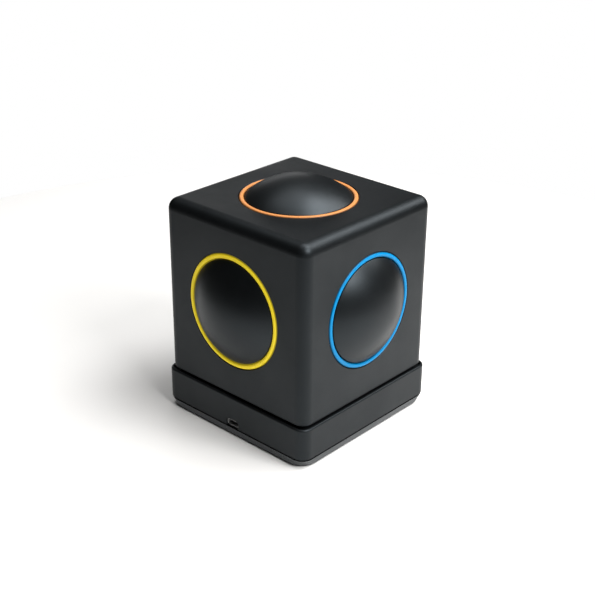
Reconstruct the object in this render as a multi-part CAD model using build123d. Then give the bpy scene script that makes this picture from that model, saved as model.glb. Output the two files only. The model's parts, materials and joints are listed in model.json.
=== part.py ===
from build123d import *
import os

os.makedirs("parts", exist_ok=True)

# A palm-size press-pad cube on a square electronics base. Millimetres, +Z up.
# The origin is the centre of the footprint at the desk plane. The yellow pad and the USB socket
# face -Y, the blue pad faces +X, the orange pad is on top.

# ---- Driving dimensions ----
CUBE = 90.0                  # width and depth of the pad cube
CUBE_TOP = 111.4             # height of the cube's top face above the desk
CUBE_FOOT = 21.9             # lower edge of the cube's side faces
PAD_AXIS_Z = 66.3            # height of the side pads' centres
CUBE_EDGE = 5.5              # radius on the cube's edges
WALL = 3.0                   # shell wall thickness

BASE = 92.8                  # width and depth of the base
BASE_CORNER = 5.6            # plan radius of the base's corners
BASE_TOP = 21.1              # height of the base's upper rim
RIM = 1.2                    # width of that rim, outside the channel around the cube's foot
CHANNEL = 1.6                # depth of the channel
PARTING = 4.6                # joint between the base housing and the bottom plate
GROOVE_H = 0.9               # shadow groove around that joint
GROOVE_IN = 1.5
PLATE_HALF = (45.7, 46.35)   # bottom plate, half width at its foot and at its top
PLATE_CORNER = (9.0, 5.7)    # its plan corners, at its foot and at its top
PLATE_FOOT = 0.7             # underside of the bottom plate, lifted off the desk by the feet

RING_OUTER = 28.3            # coloured ring, outer radius of the visible band
RING_INNER = 25.9            # coloured ring, inner radius
RING_PROUD = 0.35            # how far the ring's bead stands out of the face
DOME_R = 25.6                # radius of the dome's edge
DOME_H = 9.7                 # height of the dome above the cube's face
TRAVEL = 4.0                 # how far each pad presses in

# ---- Stack of a pad module, measured along the face's normal from the cube's face ----
RING_BACK = -5.2             # back of the ring's hidden flange
FLANGE_R = 30.2              # radius of the ring's flange and of the plunger's disc
PLUNGER_TOP = -5.4
PLUNGER_T = 2.0
STEM_END = -9.0
STEM_R = 6.0
MAGNET_R = 4.0
MAGNET_T = 2.5
SKIN = 2.4                   # thickness of the pad's soft skin
COLLAR_R = 30.6              # bore of the collar that guides the plunger
COLLAR_T = 1.8
COLLAR_END = -12.0
BOARD_TOP = -14.4
BOARD_T = 1.6
BOARD_W = 56.0
BOARD_HOLE = 24.0            # sensor board screw positions, from the board's centre
STOP_AT = 19.5               # posts that stop a pressed plunger, from the board's centre
STOP_R = 1.5
CHIP_T = 1.0

# ---- Core, base and electronics ----
CORE_HALF = CUBE / 2 + BOARD_TOP - BOARD_T
CORE_WALL = 3.0
PLATE_T = 3.0                # chassis plate that closes the cube's underside
CHASSIS_TOP = CUBE_FOOT + PLATE_T
BASE_WALL = 2.6
DECK_LOW = BASE_TOP - 3.0    # underside of the base's deck
NECK_HALF = 42.6             # raised seat under the cube, in the shadow gap
CUBE_SCREW = 36.5            # cube screws, distance from both centre planes
BOTTOM_SCREW = (39.5, 24.0)  # bottom plate screws
FOOT_AT = 35.0               # rubber feet, distance from both centre planes
FOOT_R = 5.5
FOOT_POCKET = 0.4
FLOOR_TOP = 2.5              # inside floor of the bottom plate
PCB_LOW = 4.0                # main board
PCB_TOP = 5.6
PCB_HALF_X = 34.0
PCB_Y = (-43.5, 41.5)
PCB_SCREWS = [(-30.0, -38.0), (30.0, -38.0), (-30.0, 36.0), (30.0, 36.0)]
PORT_W = 7.7                 # USB opening in the base
PORT_H = 3.2
PORT_CORNER = 1.5
PORT_FLARE = 0.6             # chamfer around the opening
PORT_Z = 6.9                 # height of the opening's centre
SOCKET_BACK = 0.7            # how far the USB socket's lip sits behind the base's face
SWITCH_TRAVEL = 3.0          # power switch on the back of the base
SWITCH_Z = 7.6
KNOB = (3.6, 2.6)            # width and height of the switch's knob
RIBBON_W = 12.0
RIBBON_T = 0.3
RIBBON_Y = -(CUBE / 2 + BOARD_TOP) - RIBBON_T / 2
RIBBON_SLOT = (14.0, 3.0)

FACES = {
    "front": Plane(origin=(0, -CUBE / 2, PAD_AXIS_Z), x_dir=(1, 0, 0), z_dir=(0, -1, 0)),
    "right": Plane(origin=(CUBE / 2, 0, PAD_AXIS_Z), x_dir=(0, 1, 0), z_dir=(1, 0, 0)),
    "back": Plane(origin=(0, CUBE / 2, PAD_AXIS_Z), x_dir=(-1, 0, 0), z_dir=(0, 1, 0)),
    "left": Plane(origin=(-CUBE / 2, 0, PAD_AXIS_Z), x_dir=(0, -1, 0), z_dir=(-1, 0, 0)),
    "top": Plane(origin=(0, 0, CUBE_TOP), x_dir=(1, 0, 0), z_dir=(0, 0, 1)),
}
CORNERS = [(-1, -1), (1, -1), (1, 1), (-1, 1)]


# ---- Shape helpers ----
def block(width, depth, low, high, corner=0.0, at=(0.0, 0.0)):
    """An upright block with rounded plan corners, from one height to another."""
    plan = RectangleRounded(width, depth, corner) if corner else Rectangle(width, depth)
    return Pos(at[0], at[1], low) * extrude(plan, amount=high - low)


def post(radius, low, high, at=(0.0, 0.0)):
    """An upright cylinder from one height to another."""
    return Pos(at[0], at[1], low) * extrude(Circle(radius), amount=high - low)


def turned(points):
    """A solid turned about Z from a closed outline of (radius, height) points."""
    outline = Polyline([(r, 0, z) for r, z in points], close=True)
    return revolve(make_face(outline), axis=Axis.Z)


def tube(inner, outer, low, high):
    return post(outer, low, high) - post(inner, low, high)


def on_face(name, solid):
    """Carry a solid from the pad module's own frame to one face of the cube."""
    return FACES[name].location * solid


def group(solids):
    return Compound(children=list(solids))


def screw(head_r, head_h, shaft_r, length):
    """A pan-head screw pointing down, with its head's seat at height 0."""
    head = fillet(post(head_r, 0, head_h).edges().group_by(Axis.Z)[-1], head_h * 0.4)
    recess = Pos(0, 0, head_h - 0.6) * extrude(RegularPolygon(head_r * 0.45, 6), amount=0.6)
    return head + post(shaft_r, -length, 0) - recess


# ---- Pad modules, in their own frame: Z = 0 is the cube's face, +Z points out of it ----
def ring():
    band = turned([
        (RING_INNER, RING_BACK), (FLANGE_R, RING_BACK), (FLANGE_R, -WALL),
        (RING_OUTER, -WALL), (RING_OUTER, RING_PROUD), (RING_INNER, RING_PROUD),
    ])
    return fillet(band.edges().group_by(Axis.Z)[-1], 1.0)


def pad():
    """A hollow soft dome: two concentric spherical caps joined by a straight skirt."""
    outer = (DOME_R ** 2 + DOME_H ** 2) / (2 * DOME_H)
    bore = DOME_R - SKIN

    def ball(radius):
        return Pos(0, 0, DOME_H - outer) * Rot(90, 0, 0) * Sphere(radius)

    dome = post(DOME_R, PLUNGER_TOP, DOME_H + 1) & ball(outer)
    dome -= post(bore, PLUNGER_TOP, DOME_H + 1) & ball(outer - SKIN)
    rim = dome.edges().filter_by(lambda edge: abs(edge.bounding_box().min.Z) < 0.01)
    return fillet(rim, 0.8)


def plunger():
    """A guided disc with a rim that centres the soft pad and a stem that carries the magnet."""
    disc = post(FLANGE_R, PLUNGER_TOP - PLUNGER_T, PLUNGER_TOP)
    rim = tube(DOME_R - SKIN - 3.0, DOME_R - SKIN - 0.2, PLUNGER_TOP, -2.2)
    stem = post(STEM_R, STEM_END, PLUNGER_TOP - PLUNGER_T)
    return disc + rim + stem - post(MAGNET_R, STEM_END, STEM_END + MAGNET_T)


def magnet():
    disc = post(MAGNET_R - 0.05, STEM_END, STEM_END + MAGNET_T)
    return chamfer(disc.edges().group_by(Axis.Z)[0], 0.3)


def foam():
    """Return foam between the sensor board and the plunger."""
    return tube(14.0, 20.0, BOARD_TOP, PLUNGER_TOP - PLUNGER_T)


def sensor_board():
    board = block(BOARD_W, BOARD_W, BOARD_TOP - BOARD_T, BOARD_TOP, corner=3.0)
    for x, y in CORNERS:
        board -= post(1.1, BOARD_TOP - BOARD_T, BOARD_TOP, at=(x * BOARD_HOLE, y * BOARD_HOLE))
        board -= post(STOP_R + 0.2, BOARD_TOP - BOARD_T, BOARD_TOP, at=(x * STOP_AT, y * STOP_AT))
    return board


def hall_sensor():
    body = block(4.0, 3.0, BOARD_TOP, BOARD_TOP + CHIP_T)
    return chamfer(body.edges().group_by(Axis.Z)[-1], 0.2)


def sensor_screws():
    one = Pos(0, 0, BOARD_TOP) * screw(1.9, 1.2, 1.0, 4.4)
    return [Pos(x * BOARD_HOLE, y * BOARD_HOLE, 0) * one for x, y in CORNERS]


# ---- Cube ----
def pad_opening():
    """What each face of the shell loses: a round hole with a small countersink."""
    reach = RING_OUTER + 0.15
    return turned([
        (0, -WALL - 1), (reach, -WALL - 1), (reach, -0.35), (reach + 0.35, 0), (reach + 0.35, 1), (0, 1),
    ])


def cube_shell():
    shell = block(CUBE, CUBE, CUBE_FOOT, CUBE_TOP)
    shell = fillet(shell.edges().filter_by(Axis.Z) + shell.edges().group_by(Axis.Z)[-1], CUBE_EDGE)
    shell = fillet(shell.edges().group_by(Axis.Z)[0], 0.8)
    inner = CUBE - 2 * WALL
    shell -= block(inner, inner, CUBE_FOOT, CUBE_TOP - WALL, corner=CUBE_EDGE - WALL)
    for name in FACES:
        collar = tube(COLLAR_R, COLLAR_R + COLLAR_T, COLLAR_END, -WALL / 2)
        shell += on_face(name, collar)
        shell -= on_face(name, pad_opening())
    boss = CUBE / 2 - WALL - (CUBE_SCREW - 3.0)
    centre = CUBE / 2 - WALL - boss / 2 + 0.2
    for x, y in CORNERS:
        shell += block(boss, boss, CHASSIS_TOP, 40.0, corner=1.2, at=(x * centre, y * centre))
    for x, y in CORNERS:
        shell -= post(1.45, CHASSIS_TOP, 38.0, at=(x * CUBE_SCREW, y * CUBE_SCREW))
    return shell


def core_frame():
    """A hollow column that carries the five sensor boards, with posts that stop the plungers."""
    top = CUBE_TOP + BOARD_TOP - BOARD_T
    inside = 2 * (CORE_HALF - CORE_WALL)
    core = block(2 * CORE_HALF, 2 * CORE_HALF, CHASSIS_TOP, top, corner=2.0)
    core += block(66.0, 66.0, CHASSIS_TOP, CHASSIS_TOP + 3.0, corner=3.0)
    core -= block(inside, inside, CHASSIS_TOP, top - CORE_WALL, corner=1.0)
    wall_low = BOARD_TOP - BOARD_T - CORE_WALL
    stop_top = PLUNGER_TOP - PLUNGER_T - TRAVEL - 0.1
    for name in FACES:
        core -= on_face(name, post(14.0, wall_low - 0.5, wall_low + CORE_WALL + 0.5))
        for x, y in CORNERS:
            hole = post(1.05, wall_low, wall_low + CORE_WALL, at=(x * BOARD_HOLE, y * BOARD_HOLE))
            core -= on_face(name, hole)
            stop = post(STOP_R, wall_low + CORE_WALL / 2, stop_top, at=(x * STOP_AT, y * STOP_AT))
            core += on_face(name, stop)
    core -= block(*RIBBON_SLOT, CHASSIS_TOP, CHASSIS_TOP + 3.0, at=(0, RIBBON_Y))
    for x, y in core_screw_places():
        core -= post(1.1, CHASSIS_TOP, CHASSIS_TOP + 3.0, at=(x, y))
    return core


def core_screw_places():
    return [(x * 31.0, y * 18.0) for x, y in CORNERS]


def core_screws():
    one = screw(1.9, 1.3, 1.0, 5.6)
    return group([Pos(x, y, CHASSIS_TOP + 3.0) * one for x, y in core_screw_places()])


def chassis_plate():
    width = CUBE - 2 * WALL - 0.4
    plate = block(width, width, CUBE_FOOT, CHASSIS_TOP, corner=CUBE_EDGE - WALL - 0.2)
    plate -= block(*RIBBON_SLOT, CUBE_FOOT, CHASSIS_TOP, at=(0, RIBBON_Y))
    for x, y in CORNERS:
        plate -= post(1.7, CUBE_FOOT, CHASSIS_TOP, at=(x * CUBE_SCREW, y * CUBE_SCREW))
    for x, y in core_screw_places():
        plate -= post(1.05, CUBE_FOOT, CHASSIS_TOP, at=(x, y))
    return plate


def cube_screws():
    """Screws driven up through the base's deck into the cube's corner bosses."""
    one = Rot(180, 0, 0) * screw(2.9, 2.0, 1.4, 17.5)
    return group([Pos(x * CUBE_SCREW, y * CUBE_SCREW, DECK_LOW) * one for x, y in CORNERS])


def edge_flex():
    """A flat jumper that folds over the core's edge, from the top board down to the front board."""
    side = -(CUBE / 2 + BOARD_TOP)
    level = CUBE_TOP + BOARD_TOP
    lap = 6.6
    over = block(10.0, lap + RIBBON_T, level, level + RIBBON_T, at=(0, side + (lap - RIBBON_T) / 2))
    down = block(10.0, RIBBON_T, level - lap, level + RIBBON_T, at=(0, side - RIBBON_T / 2))
    return over + down


def edge_flexes():
    return group([Rot(0, 0, 90 * turn) * edge_flex() for turn in range(4)])


def main_ribbon():
    """Flat cable from the front sensor board down to the main board."""
    return block(RIBBON_W, RIBBON_T, PCB_TOP + 1.2, 43.0, at=(0, RIBBON_Y))


# ---- Base ----
def port_cutter():
    """The USB opening with a chamfered mouth, just above the housing's lower edge."""
    mouth = -BASE / 2
    centre = Plane(origin=(0, mouth, PORT_Z), x_dir=(1, 0, 0), z_dir=(0, -1, 0))
    slot = extrude(RectangleRounded(PORT_W, PORT_H, PORT_CORNER), amount=-8.0)
    wider = 2 * PORT_FLARE
    flare = loft([
        Pos(0, 0, 0.1) * RectangleRounded(PORT_W + wider, PORT_H + wider, PORT_CORNER + PORT_FLARE),
        Pos(0, 0, -PORT_FLARE) * RectangleRounded(PORT_W, PORT_H, PORT_CORNER),
    ])
    return centre.location * (slot + flare)


def switch_cutter():
    """The power switch's slot and the shallow dish around it, on the back of the base."""
    back = Plane(origin=(0, BASE / 2, SWITCH_Z), x_dir=(-1, 0, 0), z_dir=(0, 1, 0))
    slot = extrude(RectangleRounded(KNOB[0] + SWITCH_TRAVEL + 1.0, KNOB[1] + 0.8, 0.5), amount=-8.0)
    dish = extrude(RectangleRounded(13.0, KNOB[1] + 1.8, 2.0), amount=-0.7)
    return back.location * (slot + dish)


def parting_groove():
    """What the joint between the housing and the bottom plate loses all around its outside."""
    low = PARTING - GROOVE_H / 2
    high = PARTING + GROOVE_H / 2
    inner = BASE - 2 * GROOVE_IN
    outside = block(BASE + 2, BASE + 2, low, high)
    return outside - block(inner, inner, low, high, corner=BASE_CORNER - GROOVE_IN)


def base_housing():
    body = block(BASE, BASE, PARTING, BASE_TOP, corner=BASE_CORNER)
    body = fillet(body.edges().group_by(Axis.Z)[-1], 0.9)
    body -= parting_groove()
    inner = BASE - 2 * BASE_WALL
    body -= block(inner, inner, PARTING, DECK_LOW, corner=BASE_CORNER - BASE_WALL)
    channel = BASE - 2 * RIM
    body -= block(channel, channel, BASE_TOP - CHANNEL, BASE_TOP, corner=BASE_CORNER - RIM)
    body += block(2 * NECK_HALF, 2 * NECK_HALF, BASE_TOP - CHANNEL, CUBE_FOOT, corner=3.2)
    for x, y in CORNERS:
        at = (x * BOTTOM_SCREW[0], y * BOTTOM_SCREW[1])
        body += post(3.4, PARTING, DECK_LOW, at=at)
        body -= post(1.45, PARTING, 15.0, at=at)
        body -= post(1.7, DECK_LOW, CUBE_FOOT, at=(x * CUBE_SCREW, y * CUBE_SCREW))
    body -= block(*RIBBON_SLOT, DECK_LOW, CUBE_FOOT, at=(0, RIBBON_Y))
    return body - port_cutter() - switch_cutter()


def bottom_plate():
    """A shallow tray with a drafted rim, carried on four recessed rubber feet."""
    plans = [RectangleRounded(2 * half, 2 * half, r) for half, r in zip(PLATE_HALF, PLATE_CORNER)]
    outer = loft([Pos(0, 0, PLATE_FOOT) * plans[0], Pos(0, 0, PARTING) * plans[1]])
    outer = fillet(outer.edges().group_by(Axis.Z)[0], 0.4) - parting_groove()
    inner = 87.4
    tray = outer - block(inner, inner, FLOOR_TOP, PARTING, corner=5.5)
    for x, y in CORNERS:
        at = (x * BOTTOM_SCREW[0], y * BOTTOM_SCREW[1])
        tray += post(3.4, FLOOR_TOP, PARTING, at=at)
        tray -= post(1.6, PLATE_FOOT, PARTING, at=at)
        tray -= post(3.0, PLATE_FOOT, PLATE_FOOT + 1.9, at=at)
        tray -= post(FOOT_R + 0.1, PLATE_FOOT, PLATE_FOOT + FOOT_POCKET, at=(x * FOOT_AT, y * FOOT_AT))
    for at in PCB_SCREWS:
        tray += post(3.0, FLOOR_TOP, PCB_LOW, at=at)
        tray -= post(1.05, PLATE_FOOT + 0.6, PCB_LOW, at=at)
    return tray


def rubber_feet():
    foot = post(FOOT_R, 0, PLATE_FOOT + FOOT_POCKET)
    foot = fillet(foot.edges().group_by(Axis.Z)[0], 0.3)
    return group([Pos(x * FOOT_AT, y * FOOT_AT, 0) * foot for x, y in CORNERS])


def bottom_screws():
    one = Rot(180, 0, 0) * screw(2.7, 1.7, 1.4, 11.5)
    return group([Pos(x * BOTTOM_SCREW[0], y * BOTTOM_SCREW[1], PLATE_FOOT + 1.9) * one for x, y in CORNERS])


# ---- Electronics in the base ----
def main_board():
    depth = PCB_Y[1] - PCB_Y[0]
    board = block(2 * PCB_HALF_X, depth, PCB_LOW, PCB_TOP, corner=2.5, at=(0, sum(PCB_Y) / 2))
    for at in PCB_SCREWS:
        board -= post(1.1, PCB_LOW, PCB_TOP, at=at)
    return board


def main_board_screws():
    one = screw(1.9, 1.2, 1.0, 3.0)
    return group([Pos(x, y, PCB_TOP) * one for x, y in PCB_SCREWS])


def usb_socket():
    """A micro-size socket: a metal shell with a flared lip, and the contact tongue inside."""
    lip_y = -BASE / 2 + SOCKET_BACK
    face = Plane(origin=(0, lip_y, PORT_Z), x_dir=(1, 0, 0), z_dir=(0, -1, 0))
    shell = extrude(RectangleRounded(7.5, 2.6, 1.0), amount=-7.8)
    shell += extrude(RectangleRounded(7.5, 3.0, 1.3), amount=-0.7)
    shell -= extrude(RectangleRounded(6.7, 1.9, 0.6), amount=-7.0)
    shell -= loft([
        Pos(0, 0, 0.01) * RectangleRounded(7.3, 2.7, 1.1),
        Pos(0, 0, -0.6) * RectangleRounded(6.7, 1.9, 0.6),
    ])
    tongue = Pos(0, 0.35, -1.6) * extrude(Rectangle(4.0, 0.6), amount=-6.0)
    return face.location * (shell + tongue)


def microcontroller():
    chip = block(7.0, 7.0, PCB_TOP, PCB_TOP + 0.9, at=(-14, -14))
    return chamfer(chip.edges().group_by(Axis.Z)[-1], 0.15)


def radio_module():
    carrier = block(13.0, 20.0, PCB_TOP, PCB_TOP + 0.8, at=(16, -18))
    can = block(11.0, 13.0, PCB_TOP + 0.8, PCB_TOP + 2.6, corner=0.6, at=(16, -15.5))
    return carrier + can


def ribbon_connector():
    body = block(16.0, 4.0, PCB_TOP, PCB_TOP + 2.6, at=(0, RIBBON_Y))
    return body - block(RIBBON_W + 0.2, RIBBON_T + 0.1, PCB_TOP + 1.2, PCB_TOP + 2.6, at=(0, RIBBON_Y))


def battery():
    """A flat lithium pouch glued under the base's deck."""
    pouch = block(50.0, 34.0, DECK_LOW - 8.0, DECK_LOW, corner=2.0, at=(0, 8))
    return fillet(pouch.edges().group_by(Axis.Z)[0], 1.2)


def battery_connector():
    return block(6.0, 4.6, PCB_TOP, PCB_TOP + 4.4, corner=0.4, at=(31, -10))


def battery_lead():
    """The pouch's twin lead, bent down to its connector."""
    start = (25.0, 6.0, 13.5)
    knee = (31.0, 6.0, 13.5)
    dip = (31.0, 0.0, 7.0)
    end = (31.0, -7.7, 7.0)
    path = FilletPolyline(start, knee, dip, end, radius=2.5)
    section = Plane(origin=start, z_dir=(1, 0, 0)) * Circle(1.0)
    return sweep(section, path=path)


def power_switch_body():
    body = block(11.0, 4.6, PCB_TOP, PCB_TOP + 5.4, corner=0.3, at=(0, 39.0))
    return body - block(8.6, 1.4, SWITCH_Z - 1.0, SWITCH_Z + 1.0, at=(0, 40.8))


def power_switch_knob():
    """A ribbed slider at the left end of its slot when the power is off."""
    x = SWITCH_TRAVEL / 2
    cap_low = SWITCH_Z - KNOB[1] / 2
    outer = BASE / 2 + 0.5
    cap = block(KNOB[0], 3.6, cap_low, cap_low + KNOB[1], corner=0.4, at=(x, outer - 1.8))
    tail = block(2.0, 3.6, SWITCH_Z - 0.7, SWITCH_Z + 0.7, at=(x, 42.1))
    for rib in (-1, 0, 1):
        cap -= block(0.5, 0.8, cap_low, cap_low + KNOB[1], at=(x + rib * 1.0, outer))
    return cap + tail


def assembly():
    parts = {"cube_shell": cube_shell()}
    modules = {
        "ring": ring, "pad": pad, "plunger": plunger, "magnet": magnet, "return_foam": foam,
        "sensor_board": sensor_board,
    }
    for kind, make in modules.items():
        solid = make()
        for name in FACES:
            parts[f"{kind}_{name}"] = on_face(name, solid)
    parts["hall_sensors"] = group([on_face(name, hall_sensor()) for name in FACES])
    parts["sensor_board_screws"] = group([on_face(name, one) for name in FACES for one in sensor_screws()])
    for make in (
        core_frame, core_screws, chassis_plate, cube_screws, edge_flexes, main_ribbon,
        base_housing, bottom_plate, rubber_feet, bottom_screws,
        main_board, main_board_screws, usb_socket, microcontroller, radio_module, ribbon_connector,
        battery, battery_connector, battery_lead, power_switch_body, power_switch_knob,
    ):
        parts[make.__name__] = make()
    return parts


for node, shape in assembly().items():
    export_step(shape, f"parts/{node}.step")
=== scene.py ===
import json
import math

import bmesh
import bpy
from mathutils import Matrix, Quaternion, Vector


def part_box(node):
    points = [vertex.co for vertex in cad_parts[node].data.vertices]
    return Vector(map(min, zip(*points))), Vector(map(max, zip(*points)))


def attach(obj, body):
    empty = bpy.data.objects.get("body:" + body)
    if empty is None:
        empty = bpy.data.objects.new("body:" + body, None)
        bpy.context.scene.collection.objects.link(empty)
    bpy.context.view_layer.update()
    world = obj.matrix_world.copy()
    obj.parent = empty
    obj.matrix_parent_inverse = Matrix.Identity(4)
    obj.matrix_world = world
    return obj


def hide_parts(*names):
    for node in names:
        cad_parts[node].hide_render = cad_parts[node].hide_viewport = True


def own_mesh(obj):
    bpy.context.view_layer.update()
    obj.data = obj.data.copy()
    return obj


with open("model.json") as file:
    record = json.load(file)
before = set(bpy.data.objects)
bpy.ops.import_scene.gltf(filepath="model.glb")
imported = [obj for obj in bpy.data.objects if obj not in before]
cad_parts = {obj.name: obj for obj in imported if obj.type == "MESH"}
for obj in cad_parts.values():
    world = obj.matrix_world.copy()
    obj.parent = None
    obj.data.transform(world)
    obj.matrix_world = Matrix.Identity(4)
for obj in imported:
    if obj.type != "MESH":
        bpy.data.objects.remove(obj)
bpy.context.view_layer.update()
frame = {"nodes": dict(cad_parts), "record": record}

# Looks, lights and camera of the press-pad cube, built around its CAD nodes.
# Lengths are in metres and angles in degrees, unless a name says otherwise.
MM = 0.001

# Which way each pad faces.
FACES = {
    "front": Vector((0, -1, 0)),
    "right": Vector((1, 0, 0)),
    "back": Vector((0, 1, 0)),
    "left": Vector((-1, 0, 0)),
    "top": Vector((0, 0, 1)),
}

# ---------------------------------------------------------------- material helpers
MATERIALS = {}    # by material slot; each Shader adds its own


class Shader:
    """A node material with a Principled shader, and short calls for its procedural detail."""

    def __init__(self, name, roughness=0.5, metallic=0.0, ior=1.45, shine=0.5, tint=(1.0, 1.0, 1.0)):
        self.material = bpy.data.materials.new(f"{name}_finish")
        self.material.use_nodes = True
        self.nodes = self.material.node_tree.nodes
        self.links = self.material.node_tree.links
        self.bsdf = self.nodes["Principled BSDF"]
        self.bsdf.inputs["Roughness"].default_value = roughness
        self.bsdf.inputs["Metallic"].default_value = metallic
        self.bsdf.inputs["IOR"].default_value = ior
        self.bsdf.inputs["Specular IOR Level"].default_value = shine
        self.bsdf.inputs["Specular Tint"].default_value = (*tint, 1.0)
        self.place = self.nodes.new("ShaderNodeTexCoord").outputs["Object"]
        MATERIALS[name] = self.material

    def noise(self, scale, detail=3.0, rough=0.55, vector=None):
        node = self.nodes.new("ShaderNodeTexNoise")
        node.inputs["Scale"].default_value = scale
        node.inputs["Detail"].default_value = detail
        node.inputs["Roughness"].default_value = rough
        self.links.new(vector or self.place, node.inputs["Vector"])
        return node.outputs["Fac"]

    def cells(self, scale):
        node = self.nodes.new("ShaderNodeTexVoronoi")
        node.inputs["Scale"].default_value = scale
        self.links.new(self.place, node.inputs["Vector"])
        return node.outputs["Distance"]

    def remap(self, value, low, high, to_low, to_high):
        node = self.nodes.new("ShaderNodeMapRange")
        node.inputs["From Min"].default_value = low
        node.inputs["From Max"].default_value = high
        node.inputs["To Min"].default_value = to_low
        node.inputs["To Max"].default_value = to_high
        self.links.new(value, node.inputs["Value"])
        return node.outputs["Result"]

    def combine(self, kind, operation, first, second=None):
        """One Math or VectorMath node; each operand is a socket or a plain value."""
        node = self.nodes.new(f"ShaderNode{kind}")
        node.operation = operation
        for socket, value in zip(node.inputs, (first, second)):
            if isinstance(value, bpy.types.NodeSocket):
                self.links.new(value, socket)
            elif value is not None:
                socket.default_value = value
        return node.outputs["Value"] if kind == "Math" or operation == "LENGTH" else node.outputs[0]

    def blend(self, factor, first, second):
        """A mix of two colours; each is a socket or a plain colour."""
        node = self.nodes.new("ShaderNodeMix")
        node.data_type = "RGBA"
        self.links.new(factor, node.inputs["Factor"])
        for socket, value in zip((node.inputs["A"], node.inputs["B"]), (first, second)):
            if isinstance(value, tuple):
                socket.default_value = (*value, 1.0)
            else:
                self.links.new(value, socket)
        return node.outputs["Result"]

    def bump(self, height, strength, distance):
        node = self.nodes.new("ShaderNodeBump")
        node.inputs["Strength"].default_value = strength
        node.inputs["Distance"].default_value = distance
        self.links.new(height, node.inputs["Height"])
        self.links.new(node.outputs["Normal"], self.bsdf.inputs["Normal"])

    def vary_roughness(self, pattern, least, most):
        """Roughness between two values; a noise pattern seldom leaves its middle range."""
        self.use("Roughness", self.remap(pattern, 0.3, 0.7, least, most))

    def use(self, socket, value):
        self.links.new(value, self.bsdf.inputs[socket])


def darker(colour, share):
    return tuple(share * part for part in colour)


# ---------------------------------------------------------------- materials
CLOUD_SCALE = 90.0      # cloudy tone of plastic and rubber, in cells per metre
SMEAR_SCALE = 38.0      # uneven finish, in cells per metre
SCRATCH_SCALE = 2500.0  # fine scratches in metal, in cells per metre
ROUGHNESS_SPREAD = 0.05
WAVE_FACTOR = 20        # the wave node multiplies its own scale by this


def moulded(name, dark, light, roughness, grain_mm, depth_mm, **surface):
    """Moulded plastic or rubber: fine grain, cloudy tone and an uneven finish."""
    shader = Shader(name, roughness, **surface)
    clouds = shader.noise(CLOUD_SCALE, detail=4.0)
    shader.use("Base Color", shader.blend(clouds, dark, light))
    smear = shader.noise(SMEAR_SCALE, detail=5.0, rough=0.6)
    shader.vary_roughness(smear, roughness - ROUGHNESS_SPREAD, roughness + ROUGHNESS_SPREAD)
    grain = shader.noise(1.0 / (grain_mm * MM), detail=2.0)
    shader.bump(grain, strength=0.35, distance=depth_mm * MM)


def metal(name, colour, roughness, brush=(1.0, 1.0, 1.0)):
    """Bare metal with fine scratches that stretch along one axis."""
    shader = Shader(name, roughness, metallic=1.0)
    stretch = shader.nodes.new("ShaderNodeMapping")
    stretch.inputs["Scale"].default_value = brush
    shader.links.new(shader.place, stretch.inputs["Vector"])
    scratch = shader.noise(SCRATCH_SCALE, detail=3.0, vector=stretch.outputs["Vector"])
    shader.use("Base Color", shader.blend(scratch, darker(colour, 0.82), colour))
    shader.vary_roughness(scratch, roughness - 0.08, roughness + 0.1)
    shader.bump(scratch, strength=0.2, distance=0.02 * MM)


def circuit_board():
    """Green solder mask with a faint copper pattern under it."""
    shader = Shader("circuit_board", roughness=0.35)
    tracks = shader.nodes.new("ShaderNodeTexBrick")
    tracks.inputs["Scale"].default_value = 160.0
    tracks.inputs["Mortar Size"].default_value = 0.03
    tracks.inputs["Color1"].default_value = (0.012, 0.13, 0.05, 1)
    tracks.inputs["Color2"].default_value = (0.016, 0.16, 0.065, 1)
    tracks.inputs["Mortar"].default_value = (0.03, 0.26, 0.11, 1)
    shader.links.new(shader.place, tracks.inputs["Vector"])
    shader.use("Base Color", tracks.outputs["Color"])
    shader.bump(tracks.outputs["Fac"], strength=0.3, distance=0.03 * MM)


def foam():
    """Open-cell foam: rounded pores in a dark body, with painted shade darkest in each pore's middle."""
    shader = Shader("foam", roughness=0.95)
    pores = shader.cells(1400.0)
    # Painted shade: the same cell pattern that dents the bump makes each pore darkest at its middle.
    shader.use("Base Color", shader.blend(pores, (0.02, 0.02, 0.022), (0.075, 0.075, 0.08)))
    shader.bump(pores, strength=0.8, distance=0.3 * MM)


def flexible_circuit():
    """Amber film with darker copper lines."""
    colour = (0.58, 0.27, 0.05)
    line_spacing = 0.6 * MM
    shader = Shader("flex_amber", roughness=0.25)
    wave = shader.nodes.new("ShaderNodeTexWave")
    wave.bands_direction = "X"
    wave.inputs["Scale"].default_value = 1.0 / line_spacing / WAVE_FACTOR
    shader.links.new(shader.place, wave.inputs["Vector"])
    shader.use("Base Color", shader.blend(wave.outputs["Fac"], darker(colour, 0.55), colour))
    shader.bump(wave.outputs["Fac"], strength=0.3, distance=0.02 * MM)


def battery_foil():
    """Laminated battery pouch with soft creases, painted darker where they sink and lighter where they
    rise.
    """
    shader = Shader("battery_foil", roughness=0.3, metallic=1.0)
    creases = shader.noise(160.0, detail=5.0)
    # Painted shade: the same noise that shapes the creases darkens the foil where they sink and lightens
    # it where they rise.
    shader.use("Base Color", shader.blend(creases, (0.5, 0.51, 0.53), (0.68, 0.69, 0.71)))
    shader.vary_roughness(creases, 0.22, 0.42)
    shader.bump(creases, strength=0.5, distance=0.2 * MM)


RING_MIDDLE = 27.1 * MM              # radius of the middle of a ring's visible bead
RING_PAINTED_SHADE = (0.70 * MM, 1.15 * MM)   # distances from the bead's middle where painted shade starts and is full, standing in for the shade of the joints beside it

# Each ring's material slot, colour, and the strength of its painted glow: emission in the ring's colour
# that brightens it as if lit, though the ring is no lamp.
RINGS = {
    "front": ("ring_yellow", (1.0, 0.76, 0.03), 0.22),
    "right": ("ring_blue", (0.0, 0.22, 0.50), 0.05),
    "top": ("ring_orange", (0.55, 0.22, 0.07), 0.05),
    "back": ("ring_red", (0.66, 0.02, 0.02), 0.05),
    "left": ("ring_green", (0.06, 0.46, 0.05), 0.05),
}


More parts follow.
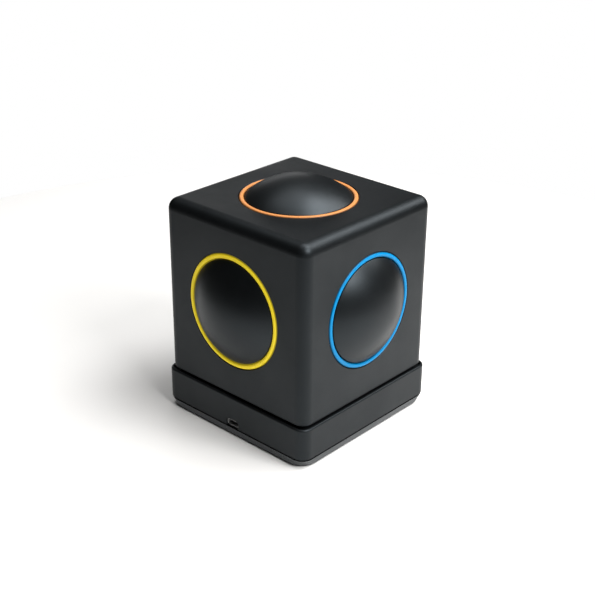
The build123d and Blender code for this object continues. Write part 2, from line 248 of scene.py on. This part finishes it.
def ring_plastic(face):
    """Tinted plastic with painted shade at the edges of the ring's bead, beside its joints, and a
    painted glow.
    """
    name, colour, glow = RINGS[face]
    shader = Shader(name, roughness=0.38, ior=1.4, shine=0.22)
    low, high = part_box(f"ring_{face}")
    across = [0.0 if part else 1.0 for part in FACES[face]]
    from_axis = shader.combine("VectorMath", "SUBTRACT", shader.place, (low + high) / 2)
    in_plane = shader.combine("VectorMath", "MULTIPLY", from_axis, across)
    radius = shader.combine("VectorMath", "LENGTH", in_plane)
    off_middle = shader.combine("Math", "SUBTRACT", radius, RING_MIDDLE)
    roll = shader.combine("Math", "ABSOLUTE", off_middle)
    # Painted shade: towards its edges the bead's colour darkens to a near-black copy of itself, standing
    # in for the shade of the joints.
    painted_shade = shader.remap(roll, *RING_PAINTED_SHADE, 0.0, 1.0)
    clouds = shader.noise(CLOUD_SCALE, detail=4.0)
    body = shader.blend(clouds, darker(colour, 0.9), colour)
    shader.use("Base Color", shader.blend(painted_shade, body, darker(colour, 0.12)))
    shader.vary_roughness(shader.noise(SMEAR_SCALE, detail=5.0), 0.34, 0.42)
    shader.bump(shader.noise(1.0 / (0.35 * MM), detail=2.0), strength=0.35, distance=0.01 * MM)
    # Painted glow: the ring emits its own colour, so it stays bright where little light reaches it.
    shader.bsdf.inputs["Emission Color"].default_value = (*colour, 1.0)
    shader.bsdf.inputs["Emission Strength"].default_value = glow


BLACK = ((0.0018, 0.0020, 0.0022), (0.0032, 0.0036, 0.0038))
COOL = (0.86, 0.99, 1.08)


def grey(level):
    return (level, level, level)


def make_materials():
    moulded("soft_touch_black", *BLACK, 0.46, 0.30, 0.012, ior=1.4, shine=0.42, tint=COOL)
    moulded("pad_rubber", *BLACK, 0.42, 0.40, 0.010, ior=1.4, shine=0.5, tint=COOL)
    moulded("base_plate_black", grey(0.012), grey(0.018), 0.28, 0.22, 0.015, shine=0.65, tint=COOL)
    moulded("foot_rubber", grey(0.02), grey(0.035), 0.8, 0.5, 0.05)
    moulded("knob_black", grey(0.02), grey(0.03), 0.4, 0.3, 0.02)
    moulded("inner_plastic", (0.07, 0.07, 0.073), (0.1, 0.1, 0.104), 0.5, 0.4, 0.02)
    moulded("chip_black", (0.012, 0.012, 0.013), (0.02, 0.02, 0.021), 0.4, 0.15, 0.02)
    moulded("connector_white", (0.66, 0.63, 0.55), (0.76, 0.74, 0.67), 0.5, 0.4, 0.01)
    moulded("lead_red", (0.45, 0.02, 0.02), (0.58, 0.035, 0.035), 0.45, 0.5, 0.02)
    metal("magnet_nickel", (0.75, 0.73, 0.7), 0.18)
    metal("screw_steel", (0.56, 0.56, 0.57), 0.32)
    metal("socket_metal", grey(0.4), 0.42, brush=(0.05, 1.0, 1.0))
    circuit_board()
    foam()
    flexible_circuit()
    battery_foil()
    for face in RINGS:
        ring_plastic(face)


def dress_cad_nodes():
    """Every CAD node gets the full material of its slot."""
    slots = {entry["node"]: entry["material_slot"] for entry in frame["record"]["subparts"]}
    for node, piece in frame["nodes"].items():
        for holder in piece.material_slots:
            holder.material = MATERIALS[slots[node]]


# ---------------------------------------------------------------- return foam
FOAM_BORE_R = 14.0 * MM
FOAM_R = 20.0 * MM
FOAM_GAP = 0.05 * MM     # under the plunger, with the pad at rest
FOAM_ROUND = 0.5 * MM    # corner at the plunger's end
FOAM_STEPS = 96


def ring_mesh(name, profile, place):
    """A mesh with the profile turned about its Z; place moves each point into the part's frame."""
    bm = bmesh.new()
    spokes = []
    for step in range(FOAM_STEPS):
        turn = Quaternion((0, 0, 1), math.tau * step / FOAM_STEPS)
        points = [turn @ Vector((radius, 0, height)) for radius, height in profile]
        spokes.append([bm.verts.new(place(point)) for point in points])
    for here, there in zip(spokes, spokes[1:] + spokes[:1]):
        for i in range(len(profile)):
            bm.faces.new((here[i - 1], there[i - 1], there[i], here[i]))
    bmesh.ops.recalc_face_normals(bm, faces=bm.faces)
    mesh = bpy.data.meshes.new(name)
    bm.to_mesh(mesh)
    bm.free()
    return mesh


def foam_ring(face):
    """A ring of foam between a sensor board and a plunger, shaped as it sits with its pad at rest."""
    outward = FACES[face]
    low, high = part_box(f"return_foam_{face}")
    depth = abs((high - low).dot(outward))
    foot = (low + high) / 2 - depth / 2 * outward
    head = depth - FOAM_GAP
    upright = outward.to_track_quat("Z", "Y")
    profile = [
        (FOAM_BORE_R, 0),
        (FOAM_R, 0),
        (FOAM_R, head - FOAM_ROUND),
        (FOAM_R - FOAM_ROUND, head),
        (FOAM_BORE_R + FOAM_ROUND, head),
        (FOAM_BORE_R, head - FOAM_ROUND),
    ]
    mesh = ring_mesh(f"foam_ring_{face}", profile, lambda point: foot + upright @ point)
    mesh.materials.append(MATERIALS["foam"])
    piece = bpy.data.objects.new(f"foam_ring_{face}", mesh)
    bpy.context.scene.collection.objects.link(piece)
    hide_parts(f"return_foam_{face}")
    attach(piece, "housing")
    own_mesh(piece)


# ---------------------------------------------------------------- stage, lights, camera
SHEET_RADIUS = 0.36
SHEET_TONES = ((0.92, 0.908, 0.89), (0.935, 0.923, 0.905))
GLOW_START = 0.18    # distance from the middle where the sheet starts to glow, to hide its edge
GLOW_FULL = 0.32
EDGE_GLOW = 0.12

WHITE = (1, 1, 1, 1)
DIM_STUDIO = 0.015


def stage_floor():
    """A round pale sheet under the object; the studio beyond it is dim, so it shades the sides."""
    bm = bmesh.new()
    bmesh.ops.create_circle(bm, cap_ends=True, segments=96, radius=SHEET_RADIUS)
    mesh = bpy.data.meshes.new("studio_floor")
    bm.to_mesh(mesh)
    bm.free()
    floor = bpy.data.objects.new("studio_floor", mesh)
    bpy.context.scene.collection.objects.link(floor)
    shader = Shader("studio_floor", roughness=0.6)
    shader.use("Base Color", shader.blend(shader.noise(3.0, detail=2.0), *SHEET_TONES))
    reach = shader.combine("VectorMath", "LENGTH", shader.place)
    shader.use("Emission Strength", shader.remap(reach, GLOW_START, GLOW_FULL, 0.0, EDGE_GLOW))
    shader.bsdf.inputs["Emission Color"].default_value = WHITE
    mesh.materials.append(shader.material)


def stand_facing(name, data, aim, azimuth, elevation, distance, roll=0.0):
    """A lamp or camera that looks at aim; azimuth 0 is from -Y and 90 is from +X."""
    around, up = math.radians(azimuth), math.radians(elevation)
    away = Vector((math.sin(around) * math.cos(up), -math.cos(around) * math.cos(up), math.sin(up)))
    holder = bpy.data.objects.new(name, data)
    holder.location = aim + away * distance
    holder.rotation_mode = "QUATERNION"
    holder.rotation_quaternion = away.to_track_quat("Z", "Y") @ Quaternion((0, 0, 1), math.radians(roll))
    bpy.context.scene.collection.objects.link(holder)
    return holder


LIGHTS_AIM = Vector((0, 0, 58 * MM))

# Each softbox's azimuth, elevation, distance, width, height and power in watts.
SOFTBOXES = {
    "key": (87, 42, 0.62, 0.34, 0.28, 4.1),
    "high_right": (132, 68, 0.5, 0.30, 0.24, 2.1),
    "right_back": (152, 41, 0.7, 0.32, 0.28, 2.0),
    "overhead": (255, 78, 1.5, 1.0, 1.0, 8.5),
    "low_back": (230, 12, 2.4, 0.9, 0.6, 2.2),
}


def studio_lights():
    for name, (azimuth, elevation, distance, width, height, power) in SOFTBOXES.items():
        lamp = bpy.data.lights.new(name, "AREA")
        lamp.shape = "RECTANGLE"
        lamp.size = width
        lamp.size_y = height
        lamp.energy = power
        stand_facing(name, lamp, LIGHTS_AIM, azimuth, elevation, distance)


def world_light():
    """White for the camera, a dim even studio for everything else."""
    world = bpy.data.worlds.new("studio")
    bpy.context.scene.world = world
    world.use_nodes = True
    nodes, links = world.node_tree.nodes, world.node_tree.links
    background = nodes["Background"]
    background.inputs["Color"].default_value = WHITE
    path = nodes.new("ShaderNodeLightPath")
    seen = nodes.new("ShaderNodeMapRange")
    seen.inputs["To Min"].default_value = DIM_STUDIO
    seen.inputs["To Max"].default_value = 1.0
    links.new(path.outputs["Is Camera Ray"], seen.inputs["Value"])
    links.new(seen.outputs["Result"], background.inputs["Strength"])


LENS_MM = 71.48
SENSOR_MM = 36.0
CAMERA_AIM = Vector((-0.21, -0.19, 58.29)) * MM
CAMERA_AZIMUTH = 42.49
CAMERA_ELEVATION = 25.52
CAMERA_DISTANCE = 579.29 * MM
CAMERA_ROLL = 0.434


def camera():
    """A short telephoto, a little above the object, that sees the front, right and top pads."""
    data = bpy.data.cameras.new("camera")
    data.lens = LENS_MM
    data.sensor_width = SENSOR_MM
    data.clip_start = 10 * MM
    bpy.context.scene.camera = stand_facing(
        "camera", data, CAMERA_AIM, CAMERA_AZIMUTH, CAMERA_ELEVATION, CAMERA_DISTANCE, CAMERA_ROLL)


bpy.context.scene.view_settings.view_transform = "Standard"
make_materials()
dress_cad_nodes()
for face in FACES:
    foam_ring(face)
stage_floor()
studio_lights()
world_light()
camera()
